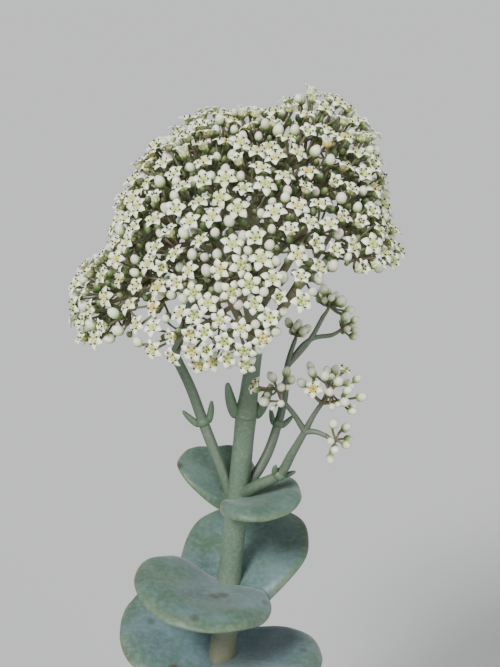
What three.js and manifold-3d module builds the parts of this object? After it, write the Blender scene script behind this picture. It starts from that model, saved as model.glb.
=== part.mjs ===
// Potted Crassula badspoortensis: a round clay pot, soil, a stem with fleshy leaf pairs
// grown round it, three side stalks and a domed head of small white star flowers.
// Millimetres, +Z up. The origin is the middle of the pot's flat base.
// +X is the plant's right as it is usually seen, and +Y is its far side.

import * as THREE from 'three';
import { mergeVertices } from 'three/addons/utils/BufferGeometryUtils.js';
import Module from 'manifold-3d';

const wasm = await Module();
wasm.setup();

// Pot and soil
const POT_HEIGHT = 80;
const POT_RIM_RADIUS = 48;
const POT_RIM_HEIGHT = 14;
const POT_WALL_TOP_RADIUS = 44.5;
const POT_BASE_RADIUS = 33;
const POT_WALL = 3.2;
const POT_SIDES = 32;
const DRAIN_COUNT = 4;
const DRAIN_RADIUS = 4;
const DRAIN_CIRCLE = 19;
const SOIL_LEVEL = 71;
const SOIL_MOUND = 1.6;
const SOIL_EDGE = 5;

// The clear gap between two pieces that touch
const SEAT = 0.3;

// Main stem: the middle line's points and the radius at each
const STEM_BOTTOM = 42;
const STEM_PATH = [
  [-1.8, 0, STEM_BOTTOM], [-1, 0, 72], [0, 0, 100], [1.3, 0, 126], [3.7, 0, 154.6],
  [6.9, 0, 185.9], [9.7, 0, 216], [11.7, 0, 232], [13.2, 0, 248], [14.5, 0, 266],
];
const STEM_RADII = [4.7, 4.9, 4.8, 4.6, 3.9, 3.6, 3.3, 2.7, 2.0, 1.2];
const STEM_SIDES = 10;
const STEM_STEPS = 16;
const BRANCH_SIDES = 5;
const TWIG_SIDES = 4;
const LEAF_STEPS = 32;

// How far from the stem one lobe's rise and roll pass into the other's
const LOBE_TURN = 5;

// Flower head: the surface that the flowers stand in, as four overlapping ellipsoids
// round a middle point with two dents between sprays, cut off below by a base whose
// height changes from left to right (points of x and height)
const HEAD_MIDDLE = new THREE.Vector3(12, 0, 262);
const HEAD_LOBES = [
  { middle: [18.3, 0, 264.2], radii: [44, 47, 46.8] },
  { middle: [5.2, 4, 275.4], radii: [39.8, 41, 40.7] },
  { middle: [-16.5, -6, 253.5], radii: [30.4, 29.5, 26] },
  { middle: [29.9, 2, 286.3], radii: [26.4, 31, 34.4] },
];
const HEAD_DENTS = [
  { direction: [-0.777, 0.194, 0.599], depth: 4.2 },
  { direction: [0.883, 0.145, 0.446], depth: 4 },
];
const DENT_WIDTH = 0.3;
const HEAD_BASE = [
  [-50, 241.7], [-28, 251], [-8, 242.6], [8, 242.1], [30, 269.7], [40, 276.1], [62, 271.1],
];
const CANDIDATES = 4000;
const SPRAY_SPACING = 24;
const FLOWER_SPACING = 7.5;
const SPRAY_CLEARANCE = 8.6;

// How far a spray's flowers sink at the crease angle from its middle, how many times that
// they sink at most, how much lower a whole spray may lie, its hub's share of the reach, and
// how many of its flowers are buds
const SPRAY_CREASE = 1.5;
const CREASE_ANGLE = 0.27;
const CREASE_LIMIT = 1.4;
const SPRAY_DROP = 2.2;
const SPRAY_DEPTH = 0.62;
const BUD_SHARE = 0.16;

// Leaf pairs from the top down. Of two values the first is for the lobe at the turn and the
// second for the lobe opposite it; of the waists, the first is on the left of that turn.
const LEAF_PAIRS = [
  {
    height: 185.9, turn: -47, length: [23.9, 22.7], width: [31, 29.5], waist: [10.8, 6.8],
    rise: [7.8, 31.5], roll: [7.4, -1.7], cup: 0.011, thickness: 3.2,
  },
  {
    height: 154.6, turn: 60, length: [34, 37], width: [42, 51], waist: [20, 15.6],
    rise: [28, 5.5], roll: [1.5, 10], cup: 0.005, thickness: 3.6,
  },
  {
    height: 126, turn: -30, length: [35.5, 37], width: [51.3, 53], waist: [17.8, 15.3],
    rise: [5, 22.6], roll: [0, 17.5], cup: 0.005, thickness: 4,
  },
  {
    height: 104, turn: 58, length: [36, 36], width: [50, 50], waist: [16, 16],
    rise: [18, 6], roll: [4, -3], cup: 0.008, thickness: 4,
  },
  {
    height: 86, turn: -32, length: [32, 32], width: [44, 44], waist: [14, 14],
    rise: [10, 12], roll: [-3, 3], cup: 0.01, thickness: 4,
  },
];

// Branches inside the head: forks off the stem, each carrying the twigs nearest to it
const FORK_DEPTH = 0.34;
const FORKS = [
  { elevation: -2, count: 6, height: 240, first: 20 },
  { elevation: 38, count: 5, height: 252, first: 0 },
  { elevation: 90, count: 1, height: 264, first: 0 },
];
const LEFT_STALK_TURN = [150, 235];

// Side stalks from the axils of the uppermost leaf pair
const LEFT_STALK = {
  path: [[4.5, 0, 187], [2, 1, 195], [-4.4, 4, 212], [-8.4, 4, 224], [-13.3, 2, 236]],
  radii: [1.9, 1.8, 1.8, 1.7, 1.6],
};
const RIGHT_STALK = {
  path: [[7.5, 0, 188], [15, 4, 197], [20.3, 9, 209.5], [22.5, 13, 218], [23.4, 17, 227]],
  radii: [1.7, 1.7, 1.5, 1.3, 1.0],
};
const FRONT_STALK = {
  path: [[7, 0, 187], [13, -5, 193], [20.5, -9, 199], [24.6, -11.5, 207.5], [28.4, -14, 215.8]],
  radii: [2.1, 2.0, 1.7, 1.4, 1.1],
};

// Loose bud sprays at the tips of the two right side stalks
const RIGHT_SPRAYS = [
  { hub: [26, 20, 235], buds: 6, flowers: 0, reach: 6, spread: 50, seed: 12 },
  { hub: [35.5, 23, 242.5], buds: 11, flowers: 0, reach: 10, spread: 56, seed: 2 },
  { hub: [38.5, 22, 236.2], buds: 7, flowers: 0, reach: 9, spread: 40, seed: 9 },
];
const FRONT_SPRAYS = [
  { hub: [21, -18, 228], buds: 8, flowers: 1, reach: 10, spread: 68, seed: 8 },
  { hub: [33.6, -17, 226.6], buds: 15, flowers: 2, reach: 13, spread: 66, seed: 4 },
  { hub: [35, -17, 215.5], buds: 6, flowers: 0, reach: 9, spread: 74, seed: 5 },
];

// Flowers and buds
const FLOWER_RADIUS = 4.5;
const PETAL_NOTCH = 0.64;
const BUD_RADIUS = 1.9;
const CALYX_RADIUS = 1.2;
const TWIG_RADIUS = 0.75;
const HUB_RADIUS = 2;
const TWIG_LENGTH = 3;

// Colours
const CLAY = 0xa8694a;
const EARTH = 0x4a3b2e;
const STEM_GREEN = 0x8fa58c;
const LEAF_GREEN = 0x8fa9a3;
const STALK_GREEN = 0x93a386;
const PETAL_WHITE = 0xe9e8d6;
const BUD_PINK = 0xd8cfc2;

// A repeatable number from 0 to 1 for piece number i and purpose k
function chance(i, k) {
  const wave = Math.sin(i * 12.9898 + k * 78.233) * 43758.5453;
  return wave - Math.floor(wave);
}

// A closed geometry as a solid for joining and cutting
function solidOf(geometry) {
  const plain = geometry.clone();
  plain.deleteAttribute('normal');
  plain.deleteAttribute('uv');
  const merged = mergeVertices(plain, 1e-4);
  return new wasm.Manifold(new wasm.Mesh({
    numProp: 3,
    vertProperties: new Float32Array(merged.attributes.position.array),
    triVerts: new Uint32Array(merged.index.array),
  }));
}

// A joined or cut solid as a geometry again
function geometryOf(solid) {
  const mesh = solid.getMesh();
  const geometry = new THREE.BufferGeometry();
  geometry.setAttribute('position', new THREE.BufferAttribute(mesh.vertProperties, 3));
  geometry.setIndex(new THREE.BufferAttribute(mesh.triVerts, 1));
  geometry.computeVertexNormals();
  return geometry;
}

function joined(solids) {
  let whole = solids[0];
  for (const piece of solids.slice(1)) {
    whole = whole.add(piece);
  }
  return whole;
}

function node(name, solid, color, roughness) {
  const material = new THREE.MeshStandardMaterial({ color, roughness, metalness: 0 });
  const mesh = new THREE.Mesh(geometryOf(solid), material);
  mesh.name = name;
  return mesh;
}

// A round stem along a smooth path, its radius following the given ones from end to end
function stemAlong(points, radii, sides, steps, extra = 0) {
  const path = new THREE.CatmullRomCurve3(points.map((p) => new THREE.Vector3(...p)));
  const frames = path.computeFrenetFrames(steps, false);
  const geometry = new THREE.CylinderGeometry(1, 1, 1, sides, steps);
  const position = geometry.attributes.position;
  const vertex = new THREE.Vector3();
  for (let i = 0; i < position.count; i += 1) {
    vertex.fromBufferAttribute(position, i);
    const along = vertex.y + 0.5;
    const step = Math.round(along * steps);
    const place = along * (radii.length - 1);
    const from = Math.min(Math.floor(place), radii.length - 2);
    const radius = THREE.MathUtils.lerp(radii[from], radii[from + 1], place - from) + extra;
    const centre = path.getPoint(along);
    centre.addScaledVector(frames.binormals[step], vertex.x * radius);
    centre.addScaledVector(frames.normals[step], vertex.z * radius);
    position.setXYZ(i, centre.x, centre.y, centre.z);
  }
  const solid = solidOf(geometry);
  return solid.volume() > 0 ? solid : turnedOut(geometry);
}

// The same geometry with its faces turned the other way
function turnedOut(geometry) {
  const index = geometry.index.array;
  for (let i = 0; i < index.length; i += 3) {
    [index[i], index[i + 1]] = [index[i + 1], index[i]];
  }
  return solidOf(geometry);
}

function stemPoint(height) {
  for (let i = 1; i < STEM_PATH.length; i += 1) {
    const [low, high] = [STEM_PATH[i - 1], STEM_PATH[i]];
    if (height <= high[2]) {
      const share = (height - low[2]) / (high[2] - low[2]);
      return new THREE.Vector3(...low).lerp(new THREE.Vector3(...high), share);
    }
  }
  return new THREE.Vector3(...STEM_PATH.at(-1));
}

function mainStemAxis(extra) {
  return stemAlong(STEM_PATH, STEM_RADII, STEM_SIDES, STEM_STEPS, extra);
}

// Plain pot: base, flaring wall and straight rim band, with holes in the base for drainage
function pot() {
  const profile = [
    [0, 0], [POT_BASE_RADIUS - 1, 0], [POT_BASE_RADIUS, 1],
    [POT_WALL_TOP_RADIUS, POT_HEIGHT - POT_RIM_HEIGHT],
    [POT_RIM_RADIUS - 0.8, POT_HEIGHT - POT_RIM_HEIGHT],
    [POT_RIM_RADIUS, POT_HEIGHT - POT_RIM_HEIGHT + 1],
    [POT_RIM_RADIUS, POT_HEIGHT - 1.2], [POT_RIM_RADIUS - 1.2, POT_HEIGHT],
    [POT_WALL_TOP_RADIUS - POT_WALL + 1, POT_HEIGHT],
    [POT_WALL_TOP_RADIUS - POT_WALL, POT_HEIGHT - 1],
    [POT_WALL_TOP_RADIUS - POT_WALL, POT_HEIGHT - POT_RIM_HEIGHT],
    [potInside(POT_WALL), POT_WALL], [0, POT_WALL],
  ].map(([r, z]) => new THREE.Vector2(r, z));
  const shell = new THREE.LatheGeometry(profile, POT_SIDES);
  shell.rotateX(Math.PI / 2);
  let solid = solidOf(shell);
  for (let i = 0; i < DRAIN_COUNT; i += 1) {
    const hole = new THREE.CylinderGeometry(DRAIN_RADIUS, DRAIN_RADIUS, 3 * POT_WALL, 16);
    hole.rotateX(Math.PI / 2);
    const turn = (i + 0.5) * 2 * Math.PI / DRAIN_COUNT;
    hole.translate(DRAIN_CIRCLE * Math.cos(turn), DRAIN_CIRCLE * Math.sin(turn), 0);
    solid = solid.subtract(solidOf(hole));
  }
  return solid;
}

// The radius of the pot's inner wall at a height
function potInside(height) {
  const share = (height - 1) / (POT_HEIGHT - POT_RIM_HEIGHT - 1);
  const outer = THREE.MathUtils.lerp(POT_BASE_RADIUS, POT_WALL_TOP_RADIUS, Math.min(share, 1));
  return outer - POT_WALL;
}

// Soil filling the pot, slightly mounded, with a plain hole for the stem
function soil(stemHole) {
  const low = POT_WALL + SEAT;
  const profile = [
    [0, low], [potInside(low) - 2 * SEAT, low],
    [potInside(SOIL_LEVEL) - 2 * SEAT, SOIL_LEVEL - 1],
    [potInside(SOIL_LEVEL) - SOIL_EDGE, SOIL_LEVEL + 0.4],
    [potInside(SOIL_LEVEL) / 2, SOIL_LEVEL + SOIL_MOUND * 0.8], [0, SOIL_LEVEL + SOIL_MOUND],
  ].map(([r, z]) => new THREE.Vector2(r, z));
  const plug = new THREE.LatheGeometry(profile, 24);
  plug.rotateX(Math.PI / 2);
  return solidOf(plug).subtract(stemHole);
}

// Two fleshy leaves grown together round the stem. Each lobe climbs from the stem by its own
// rise and leans sideways by its own roll; the face is slightly cupped and the edge is thick
// and rounded.
function leafPair(pair) {
  const { height, turn, length, width, waist, rise, roll, cup, thickness, stemHole } = pair;
  const sections = [
    [0, -0.5], [0.8, -0.46], [1, 0], [0.8, 0.46], [0, 0.5],
  ].map(([r, z]) => new THREE.Vector2(r, z));
  const geometry = new THREE.LatheGeometry(sections, LEAF_STEPS);
  geometry.rotateX(Math.PI / 2);
  const position = geometry.attributes.position;
  const centre = stemPoint(height);
  for (let i = 0; i < position.count; i += 1) {
    const [x, y, side] = [position.getX(i), position.getY(i), position.getZ(i)];
    const reach = Math.hypot(x, y);
    const angle = Math.atan2(y, x);
    const share = (1 + Math.cos(angle)) / 2;
    const long = THREE.MathUtils.lerp(length[1], length[0], share);
    const broad = THREE.MathUtils.lerp(width[1], width[0], share);
    const outline = lobeOutline(angle, long, broad / 2, waist[y > 0 ? 0 : 1]);
    const along = reach * outline * Math.cos(angle);
    const across = reach * outline * Math.sin(angle);
    const far = Math.abs(along) / long;
    const first = 0.5 + 0.5 * Math.tanh(along / LOBE_TURN);
    const climb = slope(THREE.MathUtils.lerp(rise[1], rise[0], first));
    const twist = slope(THREE.MathUtils.lerp(roll[1], roll[0], first));
    const lift = Math.abs(along) * climb * (1 - 0.18 * far) + across * twist
      + cup * across * across - 1.5 * Math.exp(-far * 9);
    const thick = thickness * (1.25 - 0.35 * far);
    position.setXYZ(i, along, across, lift + side * thick);
  }
  geometry.rotateZ(THREE.MathUtils.degToRad(turn));
  geometry.translate(centre.x, centre.y, centre.z);
  return solidOf(geometry).subtract(stemHole);
}

// Rise per run of an angle in degrees
function slope(degrees) {
  return Math.tan(THREE.MathUtils.degToRad(degrees));
}

// Distance from the stem to the edge of a leaf pair in one direction: two round lobes
// that meet in a notch beside the stem
function lobeOutline(angle, length, halfWidth, waist) {
  const round = Math.abs(Math.cos(angle));
  const broad = Math.abs(Math.sin(angle));
  const centre = length - halfWidth;
  const disc = centre * round + Math.sqrt(halfWidth ** 2 - (centre * broad) ** 2);
  const side = Math.sqrt(halfWidth ** 2 - centre ** 2);
  return disc - (side - waist) * broad ** 8;
}

// Two finger-like bracts grown from a collar round a stalk
function bractPair({ at, axis, turn, length, width, stalkRadius, spread, stemHole }) {
  const collar = new THREE.CylinderGeometry(stalkRadius + 1.3, stalkRadius + 1.1, 2.2, 7);
  collar.rotateX(Math.PI / 2);
  const parts = [solidOf(collar)];
  for (const side of [0, Math.PI]) {
    const finger = new THREE.SphereGeometry(1, 5, 4);
    finger.scale(width / 2, width / 2.6, length / 2);
    finger.translate(0, 0, length / 2 - 1);
    finger.rotateY(THREE.MathUtils.degToRad(spread));
    finger.translate(stalkRadius + 0.5, 0, 0);
    finger.rotateZ(side);
    parts.push(solidOf(finger));
  }
  const pair = geometryOf(joined(parts));
  pair.rotateZ(THREE.MathUtils.degToRad(turn));
  const up = new THREE.Vector3(0, 0, 1);
  pair.applyQuaternion(new THREE.Quaternion().setFromUnitVectors(up, axis));
  pair.translate(at.x, at.y, at.z);
  return solidOf(pair).subtract(stemHole);
}

// A small closed body of two rings and two ends: an outer ring of any number of points and
// a three-pointed throat below it, which tapers to one root point. A star flower or a bud,
// with its calyx and pedicel in one.
function bloomOnPedicel(ring, top, throat, root) {
  const points = [top, ...ring, ...throat, root];
  const faces = [];
  const count = ring.length;
  for (let i = 0; i < count; i += 1) {
    faces.push(0, 1 + i, 1 + (i + 1) % count);
  }
  let low = 0;
  for (let i = 0; i < count; i += 1) {
    const next = Math.floor((i + 1) * 3 / count + 0.001);
    faces.push(1 + i, 1 + count + low % 3, 1 + (i + 1) % count);
    if (next > low) {
      faces.push(1 + (i + 1) % count, 1 + count + low % 3, 1 + count + next % 3);
      low = next;
    }
  }
  for (let i = 0; i < 3; i += 1) {
    faces.push(1 + count + i, 4 + count, 1 + count + (i + 1) % 3);
  }
  const geometry = new THREE.BufferGeometry().setFromPoints(points);
  geometry.setIndex(faces);
  return solidOf(geometry);
}

// Points of a ring round a middle point, square to a direction
function ringPoints(middle, facing, radii, lifts, start) {
  const side = new THREE.Vector3(0.3, -0.5, 0.81).cross(facing).normalize();
  const other = new THREE.Vector3().crossVectors(facing, side);
  return radii.map((radius, i) => {
    const angle = start + i * 2 * Math.PI / radii.length;
    return middle.clone()
      .addScaledVector(side, radius * Math.cos(angle))
      .addScaledVector(other, radius * Math.sin(angle))
      .addScaledVector(facing, lifts[i]);
  });
}

// An open flower: five pointed petals in a shallow star, on a pedicel from the root point
function flower(at, facing, root, radius, start) {
  const radii = [];
  const lifts = [];
  for (let i = 0; i < 5; i += 1) {
    radii.push(radius, radius * PETAL_NOTCH);
    lifts.push(radius * 0.12, radius * 0.05);
  }
  const ring = ringPoints(at, facing, radii, lifts, start);
  const top = at.clone().addScaledVector(facing, 0.1);
  const calyx = at.clone().addScaledVector(facing, -radius * 0.55);
  const throat = ringPoints(calyx, facing, Array(3).fill(CALYX_RADIUS), [0, 0, 0], start);
  return bloomOnPedicel(ring, top, throat, root);
}

// A closed bud: a small ovoid on a pedicel
function bud(at, facing, root, radius, start) {
  const ring = ringPoints(at, facing, Array(5).fill(radius), Array(5).fill(0), start);
  const top = at.clone().addScaledVector(facing, radius * 1.1);
  const calyx = at.clone().addScaledVector(facing, -radius * 0.95);
  const throat = ringPoints(calyx, facing, Array(3).fill(CALYX_RADIUS * 0.8), [0, 0, 0], start);
  return bloomOnPedicel(ring, top, throat, root);
}

// A straight twig that tapers from one point to another
function twig(from, to, radiusFrom, radiusTo, sides) {
  const span = to.clone().sub(from);
  const geometry = new THREE.CylinderGeometry(radiusTo, radiusFrom, span.length(), sides);
  geometry.translate(0, span.length() / 2, 0);
  const up = new THREE.Vector3(0, 1, 0);
  const aim = new THREE.Quaternion().setFromUnitVectors(up, span.normalize());
  geometry.applyQuaternion(aim);
  geometry.translate(from.x, from.y, from.z);
  return solidOf(geometry);
}

function knob(at, radius) {
  const geometry = new THREE.OctahedronGeometry(radius);
  geometry.translate(at.x, at.y, at.z);
  return solidOf(geometry);
}

// Where a ray from the head's middle leaves the farthest lobe
function headReach(direction) {
  let reach = 0;
  for (const lobe of HEAD_LOBES) {
    const radii = new THREE.Vector3(...lobe.radii);
    const start = HEAD_MIDDLE.clone().sub(new THREE.Vector3(...lobe.middle)).divide(radii);
    const run = direction.clone().divide(radii);
    const a = run.lengthSq();
    const b = start.dot(run);
    const c = start.lengthSq() - 1;
    const inside = b * b - a * c;
    if (inside > 0) {
      reach = Math.max(reach, (-b + Math.sqrt(inside)) / a);
    }
  }
  for (const dent of HEAD_DENTS) {
    const away = direction.angleTo(new THREE.Vector3(...dent.direction));
    reach -= dent.depth * Math.exp(-((away / DENT_WIDTH) ** 2));
  }
  return reach;
}

// The height of the head's base at a distance to the right, between the points given for it
function headBase(x) {
  const last = HEAD_BASE.length - 1;
  const next = Math.max(1, HEAD_BASE.findIndex(([mark], i) => mark > x || i === last));
  const [[x0, z0], [x1, z1]] = HEAD_BASE.slice(next - 1, next + 1);
  return THREE.MathUtils.lerp(z0, z1, THREE.MathUtils.clamp((x - x0) / (x1 - x0), 0, 1));
}

// Places spread evenly over the head's surface
function headCandidates() {
  const places = [];
  const golden = Math.PI * (3 - Math.sqrt(5));
  for (let i = 0; i < CANDIDATES; i += 1) {
    const z = 1 - 2 * (i + 0.5) / CANDIDATES;
    const level = Math.sqrt(1 - z * z);
    const direction = new THREE.Vector3(
      level * Math.cos(i * golden), level * Math.sin(i * golden), z,
    );
    const point = HEAD_MIDDLE.clone().addScaledVector(direction, headReach(direction));
    if (point.z > headBase(point.x)) {
      places.push({ direction, point });
    }
  }
  return places;
}

// The direction that a flower faces: out from the head and a little upwards
function headFacing(point) {
  const facing = point.clone().sub(HEAD_MIDDLE).normalize();
  facing.z += 0.35;
  return facing.normalize();
}

// The head's sprays. Each has a hub below the surface, and the flowers in the cone of
// directions nearest to its own, the middle one first, as a cyme opens. They sink
// towards the cone's edge, so that creases show between the sprays.
function headSprays() {
  const places = headCandidates();
  const sprays = [];
  for (const place of places) {
    if (place.point.z < headBase(place.point.x) + 5) {
      continue;
    }
    if (sprays.every((spray) => spray.point.distanceTo(place.point) > SPRAY_SPACING)) {
      const drop = SPRAY_DROP * chance(sprays.length, 12);
      const hub = HEAD_MIDDLE.clone()
        .addScaledVector(place.direction, headReach(place.direction) * SPRAY_DEPTH);
      sprays.push({ ...place, point: place.point.clone(), drop, hub, flowers: [] });
    }
  }
  for (const place of places) {
    place.owner = nearest(sprays, place.direction);
    place.offset = place.owner.direction.angleTo(place.direction);
    const edge = Math.min((place.offset / CREASE_ANGLE) ** 2, CREASE_LIMIT);
    const sink = place.owner.drop + SPRAY_CREASE * edge;
    place.point.addScaledVector(place.direction, -sink);
  }
  places.sort((a, b) => a.offset - b.offset);
  const carried = places.filter(({ point, owner }) => (
    point.clone().sub(owner.hub).dot(owner.direction) > 1
  ));
  const taken = [];
  for (const place of carried) {
    const free = taken.every((other) => {
      const apart = other.owner === place.owner ? FLOWER_SPACING : SPRAY_CLEARANCE;
      return other.point.distanceTo(place.point) > apart;
    });
    if (free) {
      taken.push(place);
      place.owner.flowers.push(place);
    }
  }
  taken.forEach((place, i) => {
    place.draw = i;
    place.at = place.point.clone().addScaledVector(place.direction, -chance(i, 2) * 1.6);
  });
  for (const place of taken) {
    const others = taken.filter((other) => other.owner !== place.owner);
    const nearest = Math.min(...others.map((other) => other.at.distanceTo(place.at)));
    place.radius = Math.min(FLOWER_RADIUS, nearest / 2 - SEAT / 2);
  }
  return sprays;
}

// The one whose direction is nearest to the given direction
function nearest(many, direction) {
  let best = many[0];
  for (const one of many) {
    if (one.direction.dot(direction) > best.direction.dot(direction)) {
      best = one;
    }
  }
  return best;
}

// One spray of the head: a short twig, its hub, and the flowers and buds on their pedicels
function headSpray(spray) {
  const foot = spray.hub.clone().addScaledVector(spray.aim, SEAT - TWIG_LENGTH);
  const parts = [
    twig(foot, spray.hub, TWIG_RADIUS, TWIG_RADIUS, TWIG_SIDES),
    knob(spray.hub, HUB_RADIUS),
  ];
  for (const { at, point, draw, radius } of spray.flowers) {
    const facing = headFacing(point);
    const start = chance(draw, 1) * Math.PI;
    if (chance(draw, 3) < BUD_SHARE) {
      parts.push(bud(at, facing, spray.hub, BUD_RADIUS * 1.15, start));
    } else {
      parts.push(flower(at, facing, spray.hub, radius, start));
    }
  }
  return joined(parts);
}

// The forks of the branches inside the head
function headForks() {
  const forks = [];
  for (const level of FORKS) {
    for (let i = 0; i < level.count; i += 1) {
      const turn = level.first + i * 360 / level.count;
      const around = THREE.MathUtils.degToRad(turn);
      const rise = THREE.MathUtils.degToRad(level.elevation);
      const direction = new THREE.Vector3(
        Math.cos(rise) * Math.cos(around), Math.cos(rise) * Math.sin(around), Math.sin(rise),
      );
      const reach = headReach(direction) * FORK_DEPTH;
      const point = HEAD_MIDDLE.clone().addScaledVector(direction, reach);
      const onLeft = turn > LEFT_STALK_TURN[0] && turn < LEFT_STALK_TURN[1];
      const left = level === FORKS[0] && onLeft;
      forks.push({ direction, point, left, height: level.height });
    }
  }
  return forks;
}

// Each spray is carried by the fork nearest to its direction, and its twig runs on from there
function hangSprays(sprays, forks) {
  for (const spray of sprays) {
    spray.fork = nearest(forks, spray.direction);
    spray.aim = spray.hub.clone().sub(spray.fork.point).normalize();
  }
}

function headBranches(sprays, forks, ofLeftStalk) {
  const parts = [];
  forks.filter((fork) => fork.left === ofLeftStalk).forEach((fork) => {
    if (!ofLeftStalk) {
      parts.push(twig(stemPoint(fork.height), fork.point, 1.7, 1.2, BRANCH_SIDES));
      parts.push(knob(fork.point, HUB_RADIUS));
    }
    for (const spray of sprays.filter((one) => one.fork === fork)) {
      const foot = spray.hub.clone().addScaledVector(spray.aim, -TWIG_LENGTH);
      parts.push(twig(fork.point, foot, 1, TWIG_RADIUS, TWIG_SIDES));
    }
  });
  return parts;
}

// A side stalk alone, or a little thicker all round
function sideStalk(stalk, extra = 0) {
  return stemAlong(stalk.path, stalk.radii, 8, 8, extra);
}

// A side stalk with the branchlets that carry its loose sprays
function branchedStalk(stalk, sprays) {
  const tip = new THREE.Vector3(...stalk.path.at(-1));
  const parts = [sideStalk(stalk), knob(tip, stalk.radii.at(-1) * 1.4)];
  for (const spray of sprays) {
    const hub = new THREE.Vector3(...spray.hub);
    const foot = hub.clone().addScaledVector(hub.clone().sub(tip).normalize(), -TWIG_LENGTH);
    parts.push(twig(tip, foot, 0.9, TWIG_RADIUS, TWIG_SIDES));
  }
  return joined(parts);
}

// A loose spray of buds with a few open flowers at the end of a side stalk: a short twig, its
// hub, and pedicels fanned out round the twig's direction
function looseSpray({ stalk, hub, buds, flowers, reach, spread, seed }) {
  const end = new THREE.Vector3(...hub);
  const aim = end.clone().sub(new THREE.Vector3(...stalk.path.at(-1))).normalize();
  const foot = end.clone().addScaledVector(aim, SEAT - TWIG_LENGTH);
  const parts = [twig(foot, end, TWIG_RADIUS, TWIG_RADIUS, TWIG_SIDES), knob(end, 1.5)];
  const side = new THREE.Vector3(0, 0, 1).cross(aim).normalize();
  const other = new THREE.Vector3().crossVectors(aim, side);
  const total = buds + flowers;
  for (let i = 0; i < total; i += 1) {
    const tilt = THREE.MathUtils.degToRad(spread) * Math.sqrt((i + 0.3) / total);
    const around = i * Math.PI * (3 - Math.sqrt(5)) + seed;
    const out = aim.clone().multiplyScalar(Math.cos(tilt))
      .addScaledVector(side, Math.sin(tilt) * Math.cos(around))
      .addScaledVector(other, Math.sin(tilt) * Math.sin(around));
    const length = reach * (0.72 + 0.28 * chance(i, seed));
    const at = end.clone().addScaledVector(out, length);
    if (flowers > 0 && i % Math.ceil(total / flowers) === 1) {
      parts.push(flower(at, out, end, FLOWER_RADIUS * 0.9, i));
    } else {
      parts.push(bud(at, out, end, BUD_RADIUS * 0.8, i));
    }
  }
  return joined(parts);
}

function build() {
  const plant = new THREE.Group();
  const stemHole = mainStemAxis(SEAT);
  plant.add(node('pot', pot(), CLAY, 0.85));
  plant.add(node('soil', soil(stemHole), EARTH, 1));

  LEAF_PAIRS.forEach((pair, i) => {
    plant.add(node(`leaf_pair_${i + 1}`, leafPair({ ...pair, stemHole }), LEAF_GREEN, 0.6));
  });

  const sprays = headSprays();
  const forks = headForks();
  hangSprays(sprays, forks);
  const stem = joined([mainStemAxis(0), ...headBranches(sprays, forks, false)]);
  plant.add(node('main_stem', stem, STEM_GREEN, 0.6));

  const leafHole = solidOf(grownLeafPair());
  const leftFork = forks.find((fork) => fork.left);
  const leftTip = new THREE.Vector3(...LEFT_STALK.path.at(-1));
  const left = joined([
    sideStalk(LEFT_STALK),
    twig(leftTip, leftFork.point, 1.6, 1.3, 8),
    knob(leftFork.point, HUB_RADIUS),
    ...headBranches(sprays, forks, true),
  ]);
  const stalks = {
    left,
    right: branchedStalk(RIGHT_STALK, RIGHT_SPRAYS),
    front: branchedStalk(FRONT_STALK, FRONT_SPRAYS),
  };
  for (const [side, stalk] of Object.entries(stalks)) {
    const seated = stalk.subtract(stemHole).subtract(leafHole);
    plant.add(node(`side_stalk_${side}`, seated, STALK_GREEN, 0.6));
  }

  const bracts = [
    {
      name: 'bracts_main', path: STEM_PATH, spot: 6, stalkRadius: 3.3, turn: 192, length: 12,
      width: 3.4, spread: 20,
    },
    {
      name: 'bracts_left', path: LEFT_STALK.path, spot: 2, stalkRadius: 1.8, turn: 0,
      length: 7.5, width: 2.6, spread: 36,
    },
    {
      name: 'bracts_right', path: RIGHT_STALK.path, spot: 2, stalkRadius: 1.5, turn: 10,
      length: 5.5, width: 2.2, spread: 38,
    },
    {
      name: 'bracts_front', path: FRONT_STALK.path, spot: 2, stalkRadius: 1.7, turn: 20,
      length: 5, width: 2.3, spread: 42,
    },
  ];
  const holes = [
    stemHole, sideStalk(LEFT_STALK, SEAT), sideStalk(RIGHT_STALK, SEAT),
    sideStalk(FRONT_STALK, SEAT),
  ];
  bracts.forEach((pair, i) => {
    const at = new THREE.Vector3(...pair.path[pair.spot]);
    const before = new THREE.Vector3(...pair.path[pair.spot - 1]);
    const after = new THREE.Vector3(...pair.path[pair.spot + 1]);
    const axis = after.sub(before).normalize();
    const solid = bractPair({ ...pair, at, axis, stemHole: holes[i] });
    plant.add(node(pair.name, solid, LEAF_GREEN, 0.6));
  });

  sprays.forEach((spray, i) => {
    const name = `spray_${String(i + 1).padStart(2, '0')}`;
    plant.add(node(name, headSpray(spray), PETAL_WHITE, 0.55));
  });
  const loose = [
    ...RIGHT_SPRAYS.map((spray) => ({ ...spray, stalk: RIGHT_STALK })),
    ...FRONT_SPRAYS.map((spray) => ({ ...spray, stalk: FRONT_STALK })),
  ];
  loose.forEach((spray, i) => {
    plant.add(node(`bud_spray_${i + 1}`, looseSpray(spray), BUD_PINK, 0.55));
  });
  return plant;
}

// The uppermost leaf pair a little larger all round, which the side stalks stand clear of
function grownLeafPair() {
  const [first] = LEAF_PAIRS;
  const nothing = solidOf(new THREE.OctahedronGeometry(0.01));
  const grown = { ...first, thickness: first.thickness + 2 * SEAT, stemHole: nothing };
  return geometryOf(leafPair(grown));
}

export default build();
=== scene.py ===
import math

import bpy
import numpy as np
from mathutils import Matrix, Vector, noise


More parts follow.
